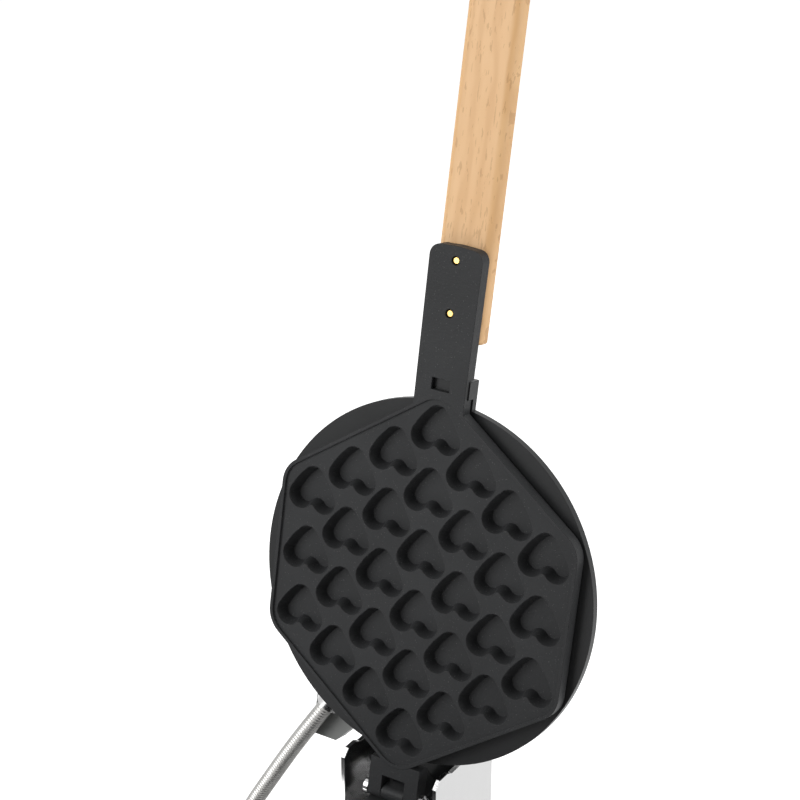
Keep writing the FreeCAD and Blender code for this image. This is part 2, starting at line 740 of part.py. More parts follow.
# Hinge block of the lower pan: a tongue with the pin's eye, a round boss for the flip shaft and a shelf
# under the lower plate's tab. It is drawn round the pin, with Y towards the rear.
blockBack = val("block_back")
block = newBody("hinge_block")
tongue = newSketch(block, "YZ_Plane")
eye = val("eye_rad")
addPieces(tongue, [
    Part.Arc(Vector(0, eye, 0), Vector(-eye, 0, 0), Vector(0, -eye, 0)),
    Part.LineSegment(Vector(0, -eye, 0), Vector(val("hinge_back") + 2, -eye, 0)),
    Part.LineSegment(Vector(val("hinge_back") + 2, -eye, 0), Vector(val("hinge_back") + 2, eye, 0)),
    Part.LineSegment(Vector(val("hinge_back") + 2, eye, 0), Vector(0, eye, 0)),
])
pad(block, tongue, "(fork_slot_half - tongue_play) * 2", middle=True)
boss = newSketch(block, "XZ_Plane", ("0", "0 - pin_depth", "0 - hinge_back"))
addCircle(boss, "bearing_rad")
pad(block, boss, "block_back - hinge_back", reverse=True)
shelfTop = -2 * val("pin_depth") - val("eye_rad") - 0.1
shelf = newSketch(block, "YZ_Plane")
addOutline(shelf, [(-17, shelfTop), (-17, shelfTop - 4), (-12, shelfTop - 6), (blockBack - 1, shelfTop - 6),
                   (blockBack, shelfTop - 5), (blockBack, -val("pin_depth")),
                   (val("hinge_back"), -val("pin_depth")), (val("hinge_back"), shelfTop)])
pad(block, shelf, "fork_half_width * 2 - 2", middle=True)
bore = newSketch(block, "XZ_Plane", ("0", "0 - pin_depth", "0 - hinge_back - 2"))
addCircle(bore, "shaft_rad + 0.02")
cut(block, bore, "block_back")
pinBore = newSketch(block, "YZ_Plane")
addCircle(pinBore, "pin_rad")
cut(block, pinBore, "fork_half_width * 2", middle=True)
for spot in (-8, 8):
    hole = newSketch(block, "XY_Plane", (str(spot), "0 - 9", "0 - pin_depth * 2 - eye_rad"))
    addCircle(hole, "screw_rad + 0.2")
    cut(block, hole, "20")
    tapped = newSketch(lowerPlate, "XY_Plane", (str(spot), "9", "0 - pin_depth - eye_rad"))
    addCircle(tapped, "screw_rad")
    cut(lowerPlate, tapped, "5", reverse=True)
block.Placement = Placement(pinPoint, Rotation())
setOf("tab_screws", Placement(pinPoint, Rotation()),
      [Vector(spot, -9, shelfTop - 6) for spot in (-8, 8)],
      screwPoints(val("screw_rad"), 10.4, val("screw_head_rad"), val("screw_head_tall")), Vector(0, 0, -1))

# Flip shaft: a hollow tube from the hinge block through both bearings, held by a nut at the rear.
postRear = val("post_length") - val("post_front")
flipPlace = Placement(Vector(0, pinForward, flipHeight), Rotation())


def alongY(label, outline, start, length, holes):
    """A piece along the flip axis: an outline of two formulas, or a radius, with bores through it."""
    body = newBody(label)
    face = newSketch(body, "XZ_Plane", ("0", "0", "0 - (%s)" % start))
    outline(face)
    pad(body, face, length, reverse=True)
    for size in holes:
        hole = newSketch(body, "XZ_Plane", ("0", "0", "0 - (%s) + 1" % start))
        addCircle(hole, size)
        cut(body, hole, "(%s) + 200" % length)
    body.Placement = flipPlace
    return body


shaft = alongY("flip_shaft", lambda face: addCircle(face, "shaft_rad"), "hinge_back + 2.2",
               "post_length - post_front + flange_lip + 12 - hinge_back - 2.2", ["shaft_bore"])


def bearing(label, start, sleeveStart, sleeveLength):
    """A square flange with a round sleeve, bored for the shaft's running fit."""
    body = newBody(label)
    sleeve = newSketch(body, "XZ_Plane", ("0", "0", "0 - (%s)" % sleeveStart))
    addCircle(sleeve, "bearing_rad")
    pad(body, sleeve, sleeveLength, reverse=True)
    lip = newSketch(body, "XZ_Plane", ("0", "0", "0 - (%s)" % start))
    addBox(lip, "flange_half * 2", "flange_half * 2")
    pad(body, lip, "flange_lip", reverse=True)
    soften(body, "4.0", lambda edge, ends, middle: along(edge, yAxis))
    hole = newSketch(body, "XZ_Plane", ("0", "0", "0"))
    addCircle(hole, "shaft_rad + shaft_play")
    cut(body, hole, "post_length + 60")
    body.Placement = flipPlace
    return body


bearing("front_bearing", "post_length - post_front - post_wall - flange_lip", "block_back + block_gap",
        "post_length - post_front - post_wall - block_back - block_gap")
bearing("rear_bearing", "post_length - post_front", "post_length - post_front - post_wall + 0.05",
        "post_wall - 0.05")


def addHexagon(sketch, flat):
    corner = flat / 2 / math.cos(math.pi / 6)
    spots = [(corner * math.cos(math.pi / 3 * n), corner * math.sin(math.pi / 3 * n)) for n in range(6)]
    addOutline(sketch, spots)


nut = alongY("shaft_nut", lambda face: addHexagon(face, 27.0),
             "post_length - post_front + flange_lip + 0.3", "9", ["shaft_rad + 0.02"])
soften(nut, "1.0", lambda edge, ends, middle: len(ends) == 2 and abs(ends[0].y - ends[1].y) < 0.01
       and middle.y > postRear + 10 and math.hypot(middle.x, middle.z) > 11, "Chamfer")


def addRoundBox(sketch, wide, tall, radius):
    """A rectangle round the sketch's middle with rounded corners."""
    x = wide / 2
    y = tall / 2
    slack = radius * (1 - math.sqrt(0.5))
    corners = [(x, y), (-x, y), (-x, -y), (x, -y)]
    for cx, cy in corners:
        sx = math.copysign(1, cx)
        sy = math.copysign(1, cy)
        peak = Vector(cx - sx * slack, cy - sy * slack, 0)
        sketch.addGeometry(Part.Arc(Vector(cx, cy - sy * radius, 0), peak,
                                    Vector(cx - sx * radius, cy, 0)), False)
    for here, there in (((x - radius, y), (radius - x, y)), ((-x, y - radius), (-x, radius - y)),
                        ((radius - x, -y), (x - radius, -y)), ((x, radius - y), (x, y - radius))):
        sketch.addGeometry(Part.LineSegment(Vector(*here, 0), Vector(*there, 0)), False)


# Rear post: a polished channel, open towards the pans, whose two side walls pass the hinge on both
# sides. Their front corners stand up as horns in front of the upper housing's band.
baseTop = val("foot_tall") + val("base_tall")
postMiddle = "(post_length / 2 - post_front)"
postFoot = Placement(Vector(0, pinForward, baseTop), Rotation())
post = newBody("rear_post")
side = newSketch(post, "YZ_Plane")
rise = val("pan_rise")
front = -val("post_front")
horn = rise + val("post_horn_top")
top = rise + val("post_top")
addOutline(side, [(front, 0), (postRear, 0), (postRear, top), (8.5, top), (4.0, horn), (front + 4, horn),
                  (front, horn - 4)])
pad(post, side, "post_half_width * 2", middle=True)
soften(post, "post_edge_rad", lambda edge, ends, middle: along(edge, zAxis) and middle.y > postRear - 0.01)
channel = newSketch(post, "XY_Plane", ("0", "(post_length - post_wall) / 2 - post_front - 5",
                                       "pan_rise + post_horn_top + 1"))
addBox(channel, "(post_half_width - post_wall) * 2", "post_length - post_wall + 10")
cut(post, channel, "pan_rise + post_horn_top + 1 - post_foot_thick")
way = newSketch(post, "XY_Plane", ("0", postMiddle, "post_foot_thick + 1"))
addBox(way, "22", "22")
cut(post, way, "post_foot_thick + 2")
through = newSketch(post, "XZ_Plane", ("0", "pan_rise - pin_depth", "0"))
addCircle(through, "bearing_rad + 0.05")
cut(post, through, "post_length + 4")
screwSpots = [(x, y) for x in (-19, 19) for y in (-20, 20)]
for x, y in screwSpots:
    hole = newSketch(post, "XY_Plane", (str(x), postMiddle + " + (%d)" % y, "post_foot_thick + 1"))
    addCircle(hole, "foot_screw_rad + 0.1")
    cut(post, hole, "post_foot_thick + 2")
post.Placement = postFoot
setOf("post_screws", postFoot,
      [Vector(x, val("post_length") / 2 - val("post_front") + y, -val("base_wall")) for x, y in screwSpots],
      screwPoints(val("foot_screw_rad"), 9.0, 4.5, 3.0), Vector(0, 0, -1))


# Base: a folded steel box open below, with corner blocks for the foot screws, the panel's openings in
# front and the mains lead's gland at the rear.
basePlace = Placement(Vector(0, pinForward, val("foot_tall") + val("floor_thick")), Rotation())
baseMiddle = "(base_rear - base_front) / 2"
baseDeep = "base_rear + base_front"
shellTall = "base_tall - floor_thick"
base = newBody("base_shell")
outline = newSketch(base, "XY_Plane", ("0", baseMiddle, "0"))
addBox(outline, "base_half_width * 2", baseDeep)
pad(base, outline, shellTall)
soften(base, "base_edge_rad", lambda edge, ends, middle: along(edge, zAxis))
soften(base, "2.5", lambda edge, ends, middle: middle.z > val("base_tall") - val("floor_thick") - 0.01)
hollow = newSketch(base, "XY_Plane", ("0", baseMiddle, "0"))
addRoundBox(hollow, (val("base_half_width") - val("base_wall")) * 2,
            val("base_rear") + val("base_front") - val("base_wall") * 2,
            val("base_edge_rad") - val("base_wall"))
cut(base, hollow, shellTall + " - base_wall", reverse=True)
footSpots = []
for sideX in (-1, 1):
    for sideY in (-1, 1):
        x = "(%d) * (base_half_width - foot_inset)" % sideX
        y = "(base_rear - base_front) / 2 + (%d) * ((base_rear + base_front) / 2 - foot_inset)" % sideY
        footSpots.append((x, y))
        corner = newSketch(base, "XY_Plane", (
            "(%d) * (base_half_width - base_wall / 2)" % sideX,
            baseMiddle + " + (%d) * ((base_rear + base_front) / 2 - base_wall / 2)" % sideY, "0"))
        gusset = [(0, -10), (0, -44), (-12, -44), (-44, -12), (-44, 0), (-10, 0)]
        gusset = [(x_ * sideX, y_ * sideY) for x_, y_ in gusset]
        addOutline(corner, gusset if sideX == sideY else gusset[::-1])
        pad(base, corner, "9")
for x, y in footSpots:
    hole = newSketch(base, "XY_Plane", (x, y, "0"))
    addCircle(hole, "foot_screw_rad")
    cut(base, hole, "8", reverse=True)
wires = newSketch(base, "XY_Plane", ("0", postMiddle, "base_tall"))
addCircle(wires, "12")
cut(base, wires, "8")
for x, y in screwSpots:
    hole = newSketch(base, "XY_Plane", (str(x), postMiddle + " + (%d)" % y, "base_tall"))
    addCircle(hole, "foot_screw_rad + 0.1")
    cut(base, hole, "8")
gland = newSketch(base, "XZ_Plane", ("gland_place", "base_tall / 2 - gland_drop", "0 - base_rear - 1"))
addCircle(gland, "gland_rad")
cut(base, gland, "base_wall + 6", reverse=True)
front = "base_front + 1"
rowUp = "panel_row - floor_thick"
rocker = newSketch(base, "XZ_Plane", ("0 - rocker_place", rowUp, front))
addBox(rocker, "rocker_width + 0.4", "rocker_tall + 0.4")
cut(base, rocker, "base_wall + 4")
panelHoles = (("0 - timer_place", "spindle_rad + 2.1", "0"),
              ("thermostat_place", "spindle_rad + 2.1", "0"),
              ("lamp_place", "4.1", "lamp_gap / 2"),
              ("lamp_place", "4.1", "0 - lamp_gap / 2"))
for place, size, rise in panelHoles:
    hole = newSketch(base, "XZ_Plane", (place, rowUp + " + " + rise, front))
    addCircle(hole, size)
    cut(base, hole, "base_wall + 4")
base.Placement = basePlace

plate = newBody("bottom_plate")
outline = newSketch(plate, "XY_Plane", ("0", baseMiddle, "0"))
addBox(outline, "base_half_width * 2", baseDeep)
pad(plate, outline, "floor_thick", reverse=True)
soften(plate, "base_edge_rad", lambda edge, ends, middle: along(edge, zAxis))
for x, y in footSpots:
    hole = newSketch(plate, "XY_Plane", (x, y, "1"))
    addCircle(hole, "foot_screw_rad + 0.2")
    cut(plate, hole, "floor_thick + 2")
slots = newSketch(plate, "XY_Plane", ("0 - 60", baseMiddle + " - 60", "1"))
addBox(slots, "4", "50")
slot = cut(plate, slots, "floor_thick + 2")
vents = plate.newObject("PartDesign::LinearPattern", "vent_row")
vents.Originals = [slot]
vents.Direction = (slots, ["H_Axis"])
vents.Length = 120
vents.Occurrences = 11
plate.Tip = vents
plate.Placement = basePlace

footPlace = Placement(Vector(0, pinForward, 0), Rotation())
spots = []
for sideX in (-1, 1):
    for sideY in (-1, 1):
        spots.append(Vector(sideX * (val("base_half_width") - val("foot_inset")),
                            (val("base_rear") - val("base_front")) / 2
                            + sideY * ((val("base_rear") + val("base_front")) / 2 - val("foot_inset")), 0))
tall = val("foot_tall")
wide = val("foot_rad")
hole = val("foot_screw_rad") + 0.2
setOf("rubber_feet", footPlace, spots,
      [(hole, 7), (hole, tall), (wide, tall), (wide - 2.5, 0), (5.2, 0), (5.2, 7)], zAxis)
setOf("foot_screws", footPlace, [spot + Vector(0, 0, 7) for spot in spots],
      screwPoints(val("foot_screw_rad") - 0.02, tall - 7 + val("floor_thick") + 7.5, 4.6, 3.2),
      Vector(0, 0, -1))


# Controls on the front panel: each is drawn with Z out of the panel and moved to its place.
def panelPlace(x, rise=0.0):
    spot = Vector(x, pinForward - val("base_front"), val("foot_tall") + val("panel_row") + rise)
    return Placement(spot, Rotation(xAxis, 90))


def knob(label, place):
    """A round knob with a raised grip bar, a hollow back and its spindle."""
    body = newBody(label)
    radius = val("knob_rad")
    tall = val("knob_tall")
    spindle = val("spindle_rad")
    profile = newSketch(body, "XZ_Plane")
    addOutline(profile, [(0, -15), (spindle, -15), (spindle, 6), (7.5, 6), (7.5, 0.6), (radius, 0.6),
                         (radius - 0.8, 8), (radius - 2.8, 10), (0, 10)])
    turn(body, profile)
    grip = newSketch(body, "XY_Plane", ("0", "0", "9.5"))
    addBox(grip, "8", "knob_rad * 2 - 7")
    pad(body, grip, "knob_tall - 9.5")
    soften(body, "1.5", lambda edge, ends, middle: middle.z > tall - 0.01)
    body.Placement = place
    return body


def controlBody(label, place, wide, deep):
    """The switch's case behind the panel with a bushing through the panel for the spindle."""
    body = newBody(label)
    case = newSketch(body, "XY_Plane", ("0", "0", "0 - base_wall"))
    addBox(case, str(wide), str(wide))
    pad(body, case, str(deep), reverse=True)
    bush = newSketch(body, "XY_Plane", ("0", "0", "0 - base_wall"))
    addCircle(bush, "spindle_rad + 2")
    pad(body, bush, "base_wall + 4")
    bore = newSketch(body, "XY_Plane", ("0", "0", "5"))
    addCircle(bore, "spindle_rad + 0.05")
    cut(body, bore, "21")
    body.Placement = place
    return body


timerPlace = panelPlace(-val("timer_place"))
thermostatPlace = panelPlace(val("thermostat_place"))
controlBody("timer_body", timerPlace, 34, 30)
controlBody("thermostat_body", thermostatPlace, 38, 24)
knob("timer_knob", timerPlace)
knob("thermostat_knob", thermostatPlace)

# Power switch: a frame through the panel, and a rocker that tips about a pin across it.
frame = newBody("power_switch_frame")
outer = newSketch(frame, "XY_Plane")
addBox(outer, "rocker_width + 4", "rocker_tall + 4")
pad(frame, outer, "2")
soften(frame, "0.8", lambda edge, ends, middle: middle.z > 1.99)
shell = newSketch(frame, "XY_Plane")
addBox(shell, "rocker_width", "rocker_tall")
pad(frame, shell, "22", reverse=True)
well = newSketch(frame, "XY_Plane", ("0", "0", "3"))
addBox(well, "rocker_width - 2.4", "rocker_tall - 3")
cut(frame, well, "14")
pivot = newSketch(frame, "YZ_Plane", ("0", "0 - 2", "0"))
addCircle(pivot, "1.3")
cut(frame, pivot, "rocker_width - 1", middle=True)
frame.Placement = panelPlace(-val("rocker_place"))
lever = newBody("power_rocker")
side = newSketch(lever, "YZ_Plane")
reach = (val("rocker_tall") - 3) / 2 - 0.6
addOutline(side, [(-reach, 4.2), (0, 1.8), (reach, 2.6), (reach, -1.5), (reach * 0.5, -5.5),
                  (-reach * 0.5, -5.5), (-reach, -1.5)])
pad(lever, side, "rocker_width - 3", middle=True)
axle = newSketch(lever, "YZ_Plane", ("0", "0 - 2", "0"))
addCircle(axle, "1.25")
pad(lever, axle, "rocker_width - 1.4", middle=True)
lever.Placement = panelPlace(-val("rocker_place"))

setOf("indicator_lamps", panelPlace(val("lamp_place")),
      [Vector(0, val("lamp_gap") / 2, 0), Vector(0, -val("lamp_gap") / 2, 0)],
      [(0, -9), (4.0, -9), (4.0, 0), (5.6, 0), (5.6, 1), (4.2, 2.6), (2.2, 3.6), (0, 3.9)], zAxis)

# Mains side: the wires' terminal block on the bottom plate and the lead's gland in the rear wall
terminals = newBody("terminal_block")
outline = newSketch(terminals, "XY_Plane", ("gland_place", "0", "0"))
addBox(outline, "terminal_width", "terminal_length")
pad(terminals, outline, "terminal_tall")
wireHoles = newSketch(terminals, "XY_Plane", ("gland_place", "0 - 25", "terminal_tall"))
addCircle(wireHoles, "2.6")
wireHole = cut(terminals, wireHoles, "9")
row = terminals.newObject("PartDesign::LinearPattern", "terminal_row")
row.Originals = [wireHole]
row.Direction = (wireHoles, ["V_Axis"])
row.Length = 50
row.Occurrences = 6
terminals.Tip = row
terminals.Placement = basePlace
glandRise = val("foot_tall") + val("floor_thick") + val("base_tall") / 2 - val("gland_drop")
glandSpot = Vector(val("gland_place"), pinForward + val("base_rear"), glandRise)
round_("cable_gland", Placement(glandSpot, Rotation()), Vector(), yAxis,
    [(4, -16), (7.95, -16), (7.95, 0), (11, 0), (11, 6), (8.5, 9), (8.5, 15), (6.5, 17), (4, 17)])

# Lower pan: the conduit's collar on the dish's back, and the thermostat's probe behind the plate.
collarSpot = Vector(55, 80, -val("dish_back"))
collarTall = 12.0
round_("lower_hose_connector", lowerPlace, collarSpot, Vector(0, 0, -1),
       [(0, 0.05), (9.5, 0.05), (9.5, 3), (7, 5), (7, collarTall), (0, collarTall)])
round_("temperature_probe", lowerPlace, Vector(-20, 88, -val("plate_thick") - 2.1), yAxis,
               [(0, 0), (1.2, 0), (2.0, 0.8), (2.0, 62), (0, 62)])

# Conduit: a ribbed steel hose with its bore, from the upper pan's fitting down, round and up to the
# lower pan's collar. Its path is straight runs joined by tangent arcs.
exitLocal = Vector(0, val("plate_middle"), -val("connector_depth")) + out * val("connector_end")
exitPoint = upperPlace.multVec(exitLocal) - pinPoint
exitWay = upperPlace.Rotation.multVec(out)
entry = lowerPlace.multVec(collarSpot - Vector(0, 0, collarTall)) - pinPoint
route = [exitPoint, exitPoint + exitWay * 29, Vector(-87.5, 11, -26), Vector(-103.5, 8.5, -54),
         Vector(-112, 1, -78), Vector(-106, -18, -95), Vector(-89, -42, -99), Vector(-69, -63, -95),
         Vector(entry.x, entry.y, -80), entry]
rays = []
for number in range(1, len(route) - 1):
    back = route[number - 1] - route[number]
    ahead = route[number + 1] - route[number]
    bend = math.pi - back.getAngle(ahead)
    short = min(back.Length, ahead.Length)
    rays.append((0.45 * short, 0.45 * short / math.tan(bend / 2)))
print("hose arc radii", ["%.1f" % radius for reach, radius in rays])
edges = []
tail = route[0]
for number, (reach, radius) in enumerate(rays, 1):
    corner = route[number]
    before = (route[number - 1] - corner).normalize()
    after = (route[number + 1] - corner).normalize()
    first = corner + before * reach
    last = corner + after * reach
    bisector = (before + after).normalize()
    centre = corner + bisector * (math.hypot(radius, reach))
    peak = centre + (corner - centre).normalize() * radius
    edges.append(Part.LineSegment(tail, first).toShape())
    edges.append(Part.Arc(first, peak, last).toShape())
    tail = last
edges.append(Part.LineSegment(tail, route[-1]).toShape())
total = sum(edge.Length for edge in edges)


way = Part.Wire(edges)
tubes = []
for radius in (val("hose_rad"), val("hose_bore")):
    circle = Part.Wire([Part.Circle(route[0], exitWay, radius).toShape()])
    tubes.append(Part.Solid(way.makePipeShell([circle], True, False)))
hose = doc.addObject("Part::Feature", "conduit_hose")
hose.Shape = tubes[0].cut(tubes[1])
hose.Placement = Placement(pinPoint, Rotation())
keep(hose, "conduit_hose")
print("hose length %.1f, volume %.0f, section times length %.0f" % (
    total, hose.Shape.Volume, math.pi * (val("hose_rad") ** 2 - val("hose_bore") ** 2) * total))


doc.recompute()
os.makedirs("parts", exist_ok=True)
for thing in doc.Objects:
    bad = [word for word in thing.State if word in ("Invalid", "Error")]
    if bad:
        raise RuntimeError("%s is %s" % (thing.Name, bad))
for label, thing in nodes.items():
    if thing.Shape.isNull() or not thing.Shape.isValid() or not thing.Shape.Solids:
        raise RuntimeError("bad shape: " + label)
for label, thing in nodes.items():
    thing.Shape.exportStep("parts/%s.step" % label)
    print("%-26s %2d solid %10.1f mm3" % (label, len(thing.Shape.Solids), thing.Shape.Volume))
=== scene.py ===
import math
import bpy
import numpy as np
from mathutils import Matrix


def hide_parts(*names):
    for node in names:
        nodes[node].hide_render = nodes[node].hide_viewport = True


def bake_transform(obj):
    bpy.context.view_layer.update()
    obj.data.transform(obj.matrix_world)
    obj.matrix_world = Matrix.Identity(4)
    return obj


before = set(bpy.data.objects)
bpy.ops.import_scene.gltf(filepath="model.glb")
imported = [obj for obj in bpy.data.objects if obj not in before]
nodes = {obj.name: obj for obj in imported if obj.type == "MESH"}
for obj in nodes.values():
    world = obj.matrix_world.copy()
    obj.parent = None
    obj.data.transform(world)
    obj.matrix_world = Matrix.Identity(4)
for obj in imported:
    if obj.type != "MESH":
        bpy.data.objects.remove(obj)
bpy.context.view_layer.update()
scene = bpy.context.scene
hingePin = np.array([0, 0.170299, 0.200])  # middle of the hinge pin, which the pans' sizes start from
scene.view_settings.view_transform = "Standard"
print("frame loaded:", len(nodes), "nodes")


# Camera: without a shift, it stands in for the one that fits the photographed rows of cups and the
# housing's outline, and departs from it by 4 pixels at most
camera = {
    "place": (0.5091, -0.6376, 0.8753),
    "azimuth": 32.075,
    "elevation": 24.982,
    "lens": 97.70,
}
eye = bpy.data.objects.new("camera", bpy.data.cameras.new("camera"))
eye.data.lens = camera["lens"]
eye.location = camera["place"]
eye.rotation_euler = (math.radians(90 - camera["elevation"]), 0, math.radians(camera["azimuth"]))
scene.collection.objects.link(eye)
scene.camera = eye
print("camera placed")


# Sheets of points and the surfaces made of them
def surface(name, points, aroundClosed=False, caps=False):
    # points is a rows x columns x 3 array; quads join each point to the next row and column, and caps
    # closes both end rows with a fan to their middles
    rows, columns = points.shape[:2]
    index = np.arange(rows * columns).reshape(rows, columns)
    right = np.roll(index, -1, axis=1) if aroundClosed else index[:, 1:]
    left = index if aroundClosed else index[:, :-1]
    quads = np.stack([left[:-1], right[:-1], right[1:], left[1:]], axis=-1).reshape(-1, 4)
    places = points.reshape(-1, 3)
    faces = quads.tolist()
    if caps:
        places = np.vstack([places, points[0].mean(axis=0), points[-1].mean(axis=0)])
        start, end = rows * columns, rows * columns + 1
        faces += np.stack([np.full(columns, start), right[0], left[0]], axis=-1).tolist()
        faces += np.stack([np.full(columns, end), left[-1], right[-1]], axis=-1).tolist()
    mesh = bpy.data.meshes.new(name)
    mesh.from_pydata(places.tolist(), [], faces)
    mesh.polygons.foreach_set("use_smooth", np.ones(len(mesh.polygons), bool))
    mesh.update()
    made = bpy.data.objects.new(name, mesh)
    scene.collection.objects.link(made)
    return made


# Conduit: a strip-wound steel hose from the upper pan's fitting, down and round to the lower pan's collar
conduit = {
    "outside": 0.0096,
    "groove": 0.00055,
    "pitch": 0.0019,
    "around": 18,
    "ringsEachTurn": 6,
    "length": 0.258,
    # millimetres from the middle of the hinge pin
    "route": [(-53.8, 17.3, 28.9), (-69.2, 12.1, 4.8), (-87.5, 11, -26), (-103.5, 8.5, -54), (-112, 1, -78),
              (-106, -18, -95), (-89, -42, -99), (-69, -63, -95), (-55, -80, -80), (-55, -80, -50.5)],
}


def smoothRoute(name, route):
    # a NURBS line of order 3 with the route's points as its control points, read back as an array
    line = bpy.data.curves.new(name, "CURVE")
    line.dimensions = "3D"
    line.resolution_u = 24
    spline = line.splines.new("NURBS")
    spline.points.add(len(route) - 1)
    places = hingePin + np.array(route) / 1000
    spline.points.foreach_set("co", np.hstack([places, np.ones((len(route), 1))]).ravel())
    spline.use_endpoint_u = True
    spline.order_u = 3
    holder = bpy.data.objects.new(name, line)
    scene.collection.objects.link(holder)
    bpy.context.view_layer.update()
    mesh = bpy.data.meshes.new_from_object(holder)
    points = np.empty(len(mesh.vertices) * 3)
    mesh.vertices.foreach_get("co", points)
    bpy.data.objects.remove(holder)
    return points.reshape(-1, 3)


def alongLine(points, stations):
    # places on a line at the given distances from its start, by straight interpolation
    reach = np.concatenate([[0], np.cumsum(np.linalg.norm(np.diff(points, axis=0), axis=1))])
    return np.stack([np.interp(stations, reach, points[:, axis]) for axis in range(3)], axis=-1)


def ribbedHose(name, points):
    # a circle carried along the line, squeezed where the strip's turns lock: the depth of the groove is
    # a bell curve of the distance to the nearest turn, and the turns advance one pitch each time round
    total = np.linalg.norm(np.diff(points, axis=0), axis=1).sum()
    rings = int(total / conduit["pitch"] * conduit["ringsEachTurn"])
    stations = np.linspace(0, total, rings)
    middle = alongLine(points, stations)
    heading = np.gradient(middle, axis=0)
    heading /= np.linalg.norm(heading, axis=1, keepdims=True)
    side = np.cross(heading, (0.8, 0.5, -0.2))
    side /= np.linalg.norm(side, axis=1, keepdims=True)
    other = np.cross(heading, side)
    angle = np.linspace(0, 2 * math.pi, conduit["around"], endpoint=False)
    turn = stations[:, None] / conduit["pitch"] - angle[None, :] / (2 * math.pi)
    fromLock = np.abs(turn - np.round(turn))
    radius = conduit["outside"] / 2 - conduit["groove"] * np.exp(-(fromLock / 0.17) ** 2)
    ring = np.cos(angle)[None, :, None] * side[:, None, :] + np.sin(angle)[None, :, None] * other[:, None, :]
    return surface(name, middle[:, None, :] + radius[:, :, None] * ring, aroundClosed=True, caps=True)


conduitLine = smoothRoute("conduit_line", conduit["route"])
hose = ribbedHose("ribbed_conduit", conduitLine)
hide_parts("conduit_hose")
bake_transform(hose)
print("conduit wound")


# Materials: sums on sockets are written as plain sums
class Value:
    def __init__(self, finish, socket):
        self.finish = finish
        self.socket = socket

    def sum(self, operation, *values):
        return self.finish.node("Math", {"operation": operation}, dict(enumerate(values)))

    def __add__(self, other):
        return self.sum("ADD", self, other)

    def __radd__(self, other):
        return self.sum("ADD", other, self)

    def __sub__(self, other):
        return self.sum("SUBTRACT", self, other)

    def __rsub__(self, other):
        return self.sum("SUBTRACT", other, self)

    def __mul__(self, other):
        return self.sum("MULTIPLY", self, other)

    def __rmul__(self, other):
        return self.sum("MULTIPLY", other, self)

    def __pow__(self, other):
        return self.sum("POWER", self, other)

    def __gt__(self, other):
        return self.sum("GREATER_THAN", self, other)

    def __lt__(self, other):
        return self.sum("LESS_THAN", self, other)


class Finish:
    def __init__(self, name, **fixed):
        self.material = bpy.data.materials.new(name)
        self.material.use_nodes = True
        self.tree = self.material.node_tree
        self.shader = self.tree.nodes["Principled BSDF"]
        for key, value in fixed.items():
            self.shader.inputs[key.replace("_", " ")].default_value = value

    def node(self, kind, settings=None, values=None, out=0):
        made = self.tree.nodes.new("ShaderNode" + kind)
        for key, value in (settings or {}).items():
            setattr(made, key, value)
        for key, value in (values or {}).items():
            self.feed(made.inputs[key], value)
        return Value(self, made.outputs[out])

    def feed(self, socket, value):
        if isinstance(value, Value):
            self.tree.links.new(value.socket, socket)
        else:
            socket.default_value = value

    def place(self, turned=(0, 0, 0), stretched=(1, 1, 1)):
        spot = self.node("TexCoord", out=3)
        return self.node("Mapping", {}, {0: spot, 2: turned, 3: stretched})

    def noise(self, size, detail=2.0, place=None):
        # size is the width of a blotch in metres
        values = {"Vector": place or self.place(), "Scale": 1 / size, "Detail": detail}
        return self.node("TexNoise", {}, values)

    def blend(self, amount, first, second):
        return self.node("Mix", {"data_type": "RGBA"}, {0: amount, 6: first, 7: second}, out=2)

    def between(self, amount, low, high):
        return amount * (high - low) + low

    def cells(self, size, out=0, place=None):
        return self.node("TexVoronoi", {}, {"Vector": place or self.place(), "Scale": 1 / size}, out=out)

    def bump(self, height, depth, edge=0.0):
        # depth is the height of the relief in metres; edge is the radius that sharp edges are rounded to
        values = {"Height": height, "Distance": depth, "Strength": 1.0}
        if edge:
            values["Normal"] = self.node("Bevel", {"samples": 4}, {"Radius": edge})
        self.feed(self.shader.inputs["Normal"], self.node("Bump", {}, values))

    def set(self, **looks):
        for key, value in looks.items():
            self.feed(self.shader.inputs[key.replace("_", " ")], value)
        return self


def grey(level):
    return (level, level, level, 1)


def coatedCasting():
    # black non-stick coat over a sand casting: peened skin, fine pale flecks, soft sheen
    coat = Finish("coated_casting", Specular_IOR_Level=0.1)
    skin = coat.noise(0.0011, 3)
    broad = coat.noise(0.035, 2)
    fleck = (coat.cells(0.0013) < 0.2) * (coat.noise(0.0024, 1) > 0.54)
    ground = coat.blend(broad, (0.0250, 0.0255, 0.0265, 1), (0.0380, 0.0390, 0.0405, 1))
    colour = coat.blend(fleck * 0.5, ground, grey(0.09))
    coat.set(Base_Color=colour, Roughness=coat.between(skin, 0.36, 0.52))
    coat.bump(skin + coat.noise(0.0042, 1) * 0.6, 0.00012, edge=0.0005)
    return coat.material


def blackEnamel():
    # smoother stoved black on the housings
    coat = Finish("black_enamel", Specular_IOR_Level=0.15)
    skin = coat.noise(0.0009, 2)
    broad = coat.noise(0.05, 2)
    coat.set(Base_Color=coat.blend(broad, (0.0160, 0.0165, 0.0170, 1), (0.0250, 0.0255, 0.0265, 1)),
             Roughness=coat.between(coat.noise(0.012, 3), 0.26, 0.38))
    coat.bump(skin, 0.00004, edge=0.0005)
    return coat.material


